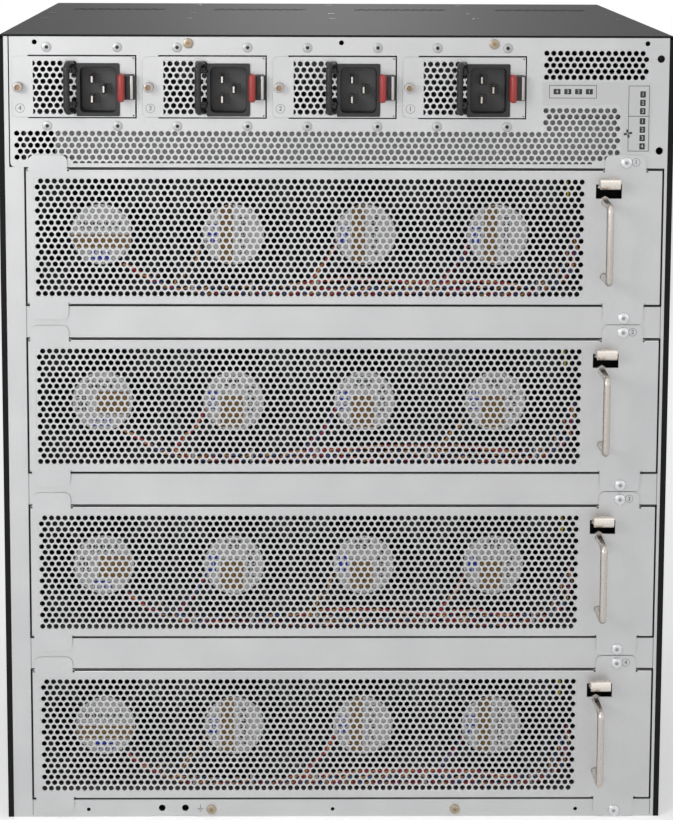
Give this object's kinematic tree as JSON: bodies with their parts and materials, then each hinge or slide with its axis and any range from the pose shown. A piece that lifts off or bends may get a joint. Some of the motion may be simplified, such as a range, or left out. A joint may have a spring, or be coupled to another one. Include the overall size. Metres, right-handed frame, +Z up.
{
  "type": "modular chassis switch",
  "caption": "Modular network chassis seen from its rear: pull-out fan trays with perforated plates, handles and latches below removable power supplies with wire bails.",
  "frame": {"origin": "centre of the footprint, on the underside", "axes": "+X to the right as seen from the rear, -Y out of the rear face, +Z up"},
  "size_m": [0.442, 0.4815, 0.53],
  "materials": {
    "cover_paint": "satin",
    "zinc_sheet": "satin",
    "board": "satin",
    "screw_steel": "satin",
    "nickel": "satin",
    "wire": "matte",
    "fan_plastic": "matte",
    "black_plastic": "matte",
    "black_paint": "satin",
    "red_plastic": "satin"
  },
  "bodies": {
    "chassis": {"outer_cover": "cover_paint", "bottom_panel": "zinc_sheet", "front_blanks": "cover_paint", "rear_frame": "zinc_sheet", "power_panel": "zinc_sheet", "inner_cage": "zinc_sheet", "midplane_board": "board", "chassis_screws": "screw_steel"},
    "fan_tray_1": {"tray_1_plate": "zinc_sheet", "tray_1_box": "zinc_sheet", "tray_1_handle": "nickel", "tray_1_harness": "wire"},
    "fan_tray_1_latch": {"tray_1_latch": "nickel"},
    "fan_1_1": {"tray_1_rotor_1": "fan_plastic"},
    "fan_1_2": {"tray_1_rotor_2": "fan_plastic"},
    "fan_1_3": {"tray_1_rotor_3": "fan_plastic"},
    "fan_1_4": {"tray_1_rotor_4": "fan_plastic"},
    "fan_tray_2": {"tray_2_plate": "zinc_sheet", "tray_2_box": "zinc_sheet", "tray_2_handle": "nickel", "tray_2_harness": "wire"},
    "fan_tray_2_latch": {"tray_2_latch": "nickel"},
    "fan_2_1": {"tray_2_rotor_1": "fan_plastic"},
    "fan_2_2": {"tray_2_rotor_2": "fan_plastic"},
    "fan_2_3": {"tray_2_rotor_3": "fan_plastic"},
    "fan_2_4": {"tray_2_rotor_4": "fan_plastic"},
    "fan_tray_3": {"tray_3_plate": "zinc_sheet", "tray_3_box": "zinc_sheet", "tray_3_handle": "nickel", "tray_3_harness": "wire"},
    "fan_tray_3_latch": {"tray_3_latch": "nickel"},
    "fan_3_1": {"tray_3_rotor_1": "fan_plastic"},
    "fan_3_2": {"tray_3_rotor_2": "fan_plastic"},
    "fan_3_3": {"tray_3_rotor_3": "fan_plastic"},
    "fan_3_4": {"tray_3_rotor_4": "fan_plastic"},
    "fan_tray_4": {"tray_4_plate": "zinc_sheet", "tray_4_box": "zinc_sheet", "tray_4_handle": "nickel", "tray_4_harness": "wire"},
    "fan_tray_4_latch": {"tray_4_latch": "nickel"},
    "fan_4_1": {"tray_4_rotor_1": "fan_plastic"},
    "fan_4_2": {"tray_4_rotor_2": "fan_plastic"},
    "fan_4_3": {"tray_4_rotor_3": "fan_plastic"},
    "fan_4_4": {"tray_4_rotor_4": "fan_plastic"},
    "supply_1": {"psu_1_case": "zinc_sheet", "psu_1_inlet": "black_plastic"},
    "supply_1_bail": {"psu_1_handle": "black_paint"},
    "supply_1_latch": {"psu_1_latch": "red_plastic"},
    "supply_2": {"psu_2_case": "zinc_sheet", "psu_2_inlet": "black_plastic"},
    "supply_2_bail": {"psu_2_handle": "black_paint"},
    "supply_2_latch": {"psu_2_latch": "red_plastic"},
    "supply_3": {"psu_3_case": "zinc_sheet", "psu_3_inlet": "black_plastic"},
    "supply_3_bail": {"psu_3_handle": "black_paint"},
    "supply_3_latch": {"psu_3_latch": "red_plastic"},
    "supply_4": {"psu_4_case": "zinc_sheet", "psu_4_inlet": "black_plastic"},
    "supply_4_bail": {"psu_4_handle": "black_paint"},
    "supply_4_latch": {"psu_4_latch": "red_plastic"}
  },
  "joints": [
    {"name": "tray_1_slide", "type": "slide", "parent": "chassis", "child": "fan_tray_1", "axis": [0, -1, 0], "range_m": [0, 0.12]},
    {"name": "tray_2_slide", "type": "slide", "parent": "chassis", "child": "fan_tray_2", "axis": [0, -1, 0], "range_m": [0, 0.12]},
    {"name": "tray_3_slide", "type": "slide", "parent": "chassis", "child": "fan_tray_3", "axis": [0, -1, 0], "range_m": [0, 0.12]},
    {"name": "tray_4_slide", "type": "slide", "parent": "chassis", "child": "fan_tray_4", "axis": [0, -1, 0], "range_m": [0, 0.12]},
    {"name": "tray_1_latch_press", "type": "slide", "parent": "fan_tray_1", "child": "fan_tray_1_latch", "axis": [0, 0, -1], "range_m": [0, 0.0045], "stiffness_N_per_m": 600},
    {"name": "tray_2_latch_press", "type": "slide", "parent": "fan_tray_2", "child": "fan_tray_2_latch", "axis": [0, 0, -1], "range_m": [0, 0.0045], "stiffness_N_per_m": 600},
    {"name": "tray_3_latch_press", "type": "slide", "parent": "fan_tray_3", "child": "fan_tray_3_latch", "axis": [0, 0, -1], "range_m": [0, 0.0045], "stiffness_N_per_m": 600},
    {"name": "tray_4_latch_press", "type": "slide", "parent": "fan_tray_4", "child": "fan_tray_4_latch", "axis": [0, 0, -1], "range_m": [0, 0.0045], "stiffness_N_per_m": 600},
    {"name": "psu_1_slide", "type": "slide", "parent": "chassis", "child": "supply_1", "axis": [0, -1, 0], "range_m": [0, 0.25]},
    {"name": "psu_2_slide", "type": "slide", "parent": "chassis", "child": "supply_2", "axis": [0, -1, 0], "range_m": [0, 0.25]},
    {"name": "psu_3_slide", "type": "slide", "parent": "chassis", "child": "supply_3", "axis": [0, -1, 0], "range_m": [0, 0.25]},
    {"name": "psu_4_slide", "type": "slide", "parent": "chassis", "child": "supply_4", "axis": [0, -1, 0], "range_m": [0, 0.25]},
    {"name": "psu_1_latch_press", "type": "hinge", "parent": "supply_1", "child": "supply_1_latch", "pos_m": [0.119, -0.1788, 0.496], "axis": [0, 0, -1], "range_deg": [0, 3.2], "stiffness_Nm_per_rad": 4},
    {"name": "psu_2_latch_press", "type": "hinge", "parent": "supply_2", "child": "supply_2_latch", "pos_m": [0.0341, -0.1788, 0.496], "axis": [0, 0, -1], "range_deg": [0, 3.2], "stiffness_Nm_per_rad": 4},
    {"name": "psu_3_latch_press", "type": "hinge", "parent": "supply_3", "child": "supply_3_latch", "pos_m": [-0.0508, -0.1788, 0.496], "axis": [0, 0, -1], "range_deg": [0, 3.2], "stiffness_Nm_per_rad": 4},
    {"name": "psu_4_latch_press", "type": "hinge", "parent": "supply_4", "child": "supply_4_latch", "pos_m": [-0.1357, -0.1788, 0.496], "axis": [0, 0, -1], "range_deg": [0, 3.2], "stiffness_Nm_per_rad": 4},
    {"name": "psu_1_bail_swing", "type": "hinge", "parent": "supply_1", "child": "supply_1_bail", "pos_m": [0.0828, -0.2282, 0.496], "axis": [0, 0, 1], "range_deg": [-68, 18]},
    {"name": "psu_2_bail_swing", "type": "hinge", "parent": "supply_2", "child": "supply_2_bail", "pos_m": [-0.0021, -0.2282, 0.496], "axis": [0, 0, 1], "range_deg": [-68, 18]},
    {"name": "psu_3_bail_swing", "type": "hinge", "parent": "supply_3", "child": "supply_3_bail", "pos_m": [-0.087, -0.2282, 0.496], "axis": [0, 0, 1], "range_deg": [-68, 18]},
    {"name": "psu_4_bail_swing", "type": "hinge", "parent": "supply_4", "child": "supply_4_bail", "pos_m": [-0.1719, -0.2282, 0.496], "axis": [0, 0, 1], "range_deg": [-68, 18]},
    {"name": "fan_1_1_spin", "type": "hinge", "parent": "fan_tray_1", "child": "fan_1_1", "pos_m": [-0.1563, -0.1935, 0.39615], "axis": [0, 1, 0], "continuous": true},
    {"name": "fan_1_2_spin", "type": "hinge", "parent": "fan_tray_1", "child": "fan_1_2", "pos_m": [-0.0683, -0.1935, 0.39615], "axis": [0, 1, 0], "continuous": true},
    {"name": "fan_1_3_spin", "type": "hinge", "parent": "fan_tray_1", "child": "fan_1_3", "pos_m": [0.0197, -0.1935, 0.39615], "axis": [0, 1, 0], "continuous": true},
    {"name": "fan_1_4_spin", "type": "hinge", "parent": "fan_tray_1", "child": "fan_1_4", "pos_m": [0.1077, -0.1935, 0.39615], "axis": [0, 1, 0], "continuous": true},
    {"name": "fan_2_1_spin", "type": "hinge", "parent": "fan_tray_2", "child": "fan_2_1", "pos_m": [-0.1563, -0.1935, 0.28315], "axis": [0, 1, 0], "continuous": true},
    {"name": "fan_2_2_spin", "type": "hinge", "parent": "fan_tray_2", "child": "fan_2_2", "pos_m": [-0.0683, -0.1935, 0.28315], "axis": [0, 1, 0], "continuous": true},
    {"name": "fan_2_3_spin", "type": "hinge", "parent": "fan_tray_2", "child": "fan_2_3", "pos_m": [0.0197, -0.1935, 0.28315], "axis": [0, 1, 0], "continuous": true},
    {"name": "fan_2_4_spin", "type": "hinge", "parent": "fan_tray_2", "child": "fan_2_4", "pos_m": [0.1077, -0.1935, 0.28315], "axis": [0, 1, 0], "continuous": true},
    {"name": "fan_3_1_spin", "type": "hinge", "parent": "fan_tray_3", "child": "fan_3_1", "pos_m": [-0.1563, -0.1935, 0.17015], "axis": [0, 1, 0], "continuous": true},
    {"name": "fan_3_2_spin", "type": "hinge", "parent": "fan_tray_3", "child": "fan_3_2", "pos_m": [-0.0683, -0.1935, 0.17015], "axis": [0, 1, 0], "continuous": true},
    {"name": "fan_3_3_spin", "type": "hinge", "parent": "fan_tray_3", "child": "fan_3_3", "pos_m": [0.0197, -0.1935, 0.17015], "axis": [0, 1, 0], "continuous": true},
    {"name": "fan_3_4_spin", "type": "hinge", "parent": "fan_tray_3", "child": "fan_3_4", "pos_m": [0.1077, -0.1935, 0.17015], "axis": [0, 1, 0], "continuous": true},
    {"name": "fan_4_1_spin", "type": "hinge", "parent": "fan_tray_4", "child": "fan_4_1", "pos_m": [-0.1563, -0.1935, 0.05715], "axis": [0, 1, 0], "continuous": true},
    {"name": "fan_4_2_spin", "type": "hinge", "parent": "fan_tray_4", "child": "fan_4_2", "pos_m": [-0.0683, -0.1935, 0.05715], "axis": [0, 1, 0], "continuous": true},
    {"name": "fan_4_3_spin", "type": "hinge", "parent": "fan_tray_4", "child": "fan_4_3", "pos_m": [0.0197, -0.1935, 0.05715], "axis": [0, 1, 0], "continuous": true},
    {"name": "fan_4_4_spin", "type": "hinge", "parent": "fan_tray_4", "child": "fan_4_4", "pos_m": [0.1077, -0.1935, 0.05715], "axis": [0, 1, 0], "continuous": true}
  ]
}
